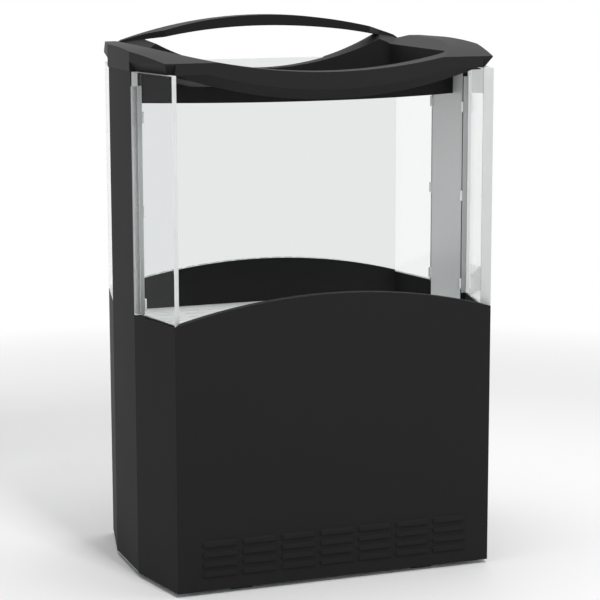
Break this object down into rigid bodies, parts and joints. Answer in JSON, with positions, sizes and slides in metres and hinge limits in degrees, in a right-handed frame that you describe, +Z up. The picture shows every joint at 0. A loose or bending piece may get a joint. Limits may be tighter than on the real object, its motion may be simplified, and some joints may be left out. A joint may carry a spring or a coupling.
{
  "type": "open-front refrigerated merchandiser",
  "caption": "Free-standing open-front chilled display cabinet: louvred arched base, slotted deck, glass sides and back, and an oval canopy with a rear arch.",
  "frame": {"origin": "on the floor under the middle of the cabinet", "axes": "+X to the right seen from the front, +Y to the back, +Z up; the open front faces -Y"},
  "size_m": [1, 0.665, 1.504],
  "materials": {
    "black_steel": "satin powder coat",
    "valance_black": "satin powder coat",
    "roof_black": "matt paint",
    "canopy_abs": "fine-grained moulding",
    "white_enamel": "gloss enamel",
    "tub_foam": "white liner on foam",
    "deck_enamel": "satin enamel",
    "clear_glass": "polished",
    "clip_plastic": "clear moulded",
    "jamb_aluminium": "satin anodised",
    "aluminium": "extruded",
    "fin_aluminium": "pressed fins",
    "fan_aluminium": "pressed blades",
    "galvanised": "zinc coated",
    "copper": "drawn tube",
    "compressor_black": "gloss paint",
    "motor_grey": "grey paint",
    "black_plastic": "moulded",
    "rocker_plastic": "moulded",
    "opal_plastic": "opal",
    "comb_plastic": "moulded",
    "tray_plastic": "moulded",
    "rubber": "moulded",
    "screw_black": "black zinc"
  },
  "bodies": {
    "cabinet": {"air_honeycomb": "comb_plastic", "base_pan": "galvanised", "bracket_screws": "galvanised", "canopy": "canopy_abs", "canopy_brackets": "galvanised", "capillary_tube": "copper", "compressor": "compressor_black", "compressor_mounts": "rubber", "condenser_coil": "fin_aluminium", "control_box": "black_steel", "discharge_tube": "copper", "drain_tube": "tray_plastic", "drip_tray": "tray_plastic", "evap_fan_frames": "black_plastic", "evaporator_coil": "fin_aluminium", "fan_motor": "motor_grey", "fan_shroud": "galvanised", "filter_drier": "copper", "foot_pads": "rubber", "front_panel": "black_steel", "glass_clips": "clip_plastic", "insulated_tub": "tub_foam", "lamp_body": "aluminium", "lamp_diffuser": "opal_plastic", "left_front_facet": "black_steel", "left_front_glass": "clear_glass", "left_front_jamb": "jamb_aluminium", "left_liner": "white_enamel", "left_post": "black_steel", "left_rear_facet": "black_steel", "left_rear_glass": "clear_glass", "left_rear_jamb": "jamb_aluminium", "liquid_tube": "copper", "motor_bracket": "galvanised", "power_inlet": "black_plastic", "rear_glass": "clear_glass", "rear_panel": "black_steel", "rear_panel_screws": "screw_black", "right_front_facet": "black_steel", "right_front_glass": "clear_glass", "right_front_jamb": "jamb_aluminium", "right_liner": "white_enamel", "right_post": "black_steel", "right_rear_facet": "black_steel", "right_rear_glass": "clear_glass", "right_rear_jamb": "jamb_aluminium", "roof_pan": "roof_black", "suction_tube": "copper", "switch_frame": "black_plastic", "terminal_cover": "black_plastic", "thermostat": "black_plastic", "tub_rails": "galvanised", "valance_housing": "valance_black"},
    "condenser_fan": {"condenser_fan": "fan_aluminium"},
    "right_evap_fan": {"right_evap_fan": "black_plastic"},
    "left_evap_fan": {"left_evap_fan": "black_plastic"},
    "thermostat_knob": {"thermostat_knob": "black_plastic"},
    "power_rocker": {"power_rocker": "rocker_plastic"},
    "right_deck": {"right_deck": "deck_enamel"},
    "left_deck": {"left_deck": "deck_enamel"}
  },
  "joints": [
    {"name": "condenser_fan_spin", "type": "hinge", "parent": "cabinet", "child": "condenser_fan", "pos_m": [0.095, -0.1575, 0.11], "axis": [0, 1, 0], "continuous": true},
    {"name": "right_evap_fan_spin", "type": "hinge", "parent": "cabinet", "child": "right_evap_fan", "pos_m": [0.15, -0.012, 0.492], "axis": [0, 1, 0], "continuous": true},
    {"name": "left_evap_fan_spin", "type": "hinge", "parent": "cabinet", "child": "left_evap_fan", "pos_m": [-0.15, -0.012, 0.492], "axis": [0, 1, 0], "continuous": true},
    {"name": "thermostat_knob_turn", "type": "hinge", "parent": "cabinet", "child": "thermostat_knob", "pos_m": [0, 0.3, 0.285], "axis": [0, 1, 0], "range_deg": [0, 300]},
    {"name": "power_rocker_tip", "type": "hinge", "parent": "cabinet", "child": "power_rocker", "pos_m": [0.08, 0.3, 0.285], "axis": [1, 0, 0], "range_deg": [0, 20]},
    {"name": "right_deck_lift", "type": "slide", "parent": "cabinet", "child": "right_deck", "axis": [0, 0, 1], "range_m": [0, 0.06]},
    {"name": "left_deck_lift", "type": "slide", "parent": "cabinet", "child": "left_deck", "axis": [0, 0, 1], "range_m": [0, 0.06]}
  ]
}
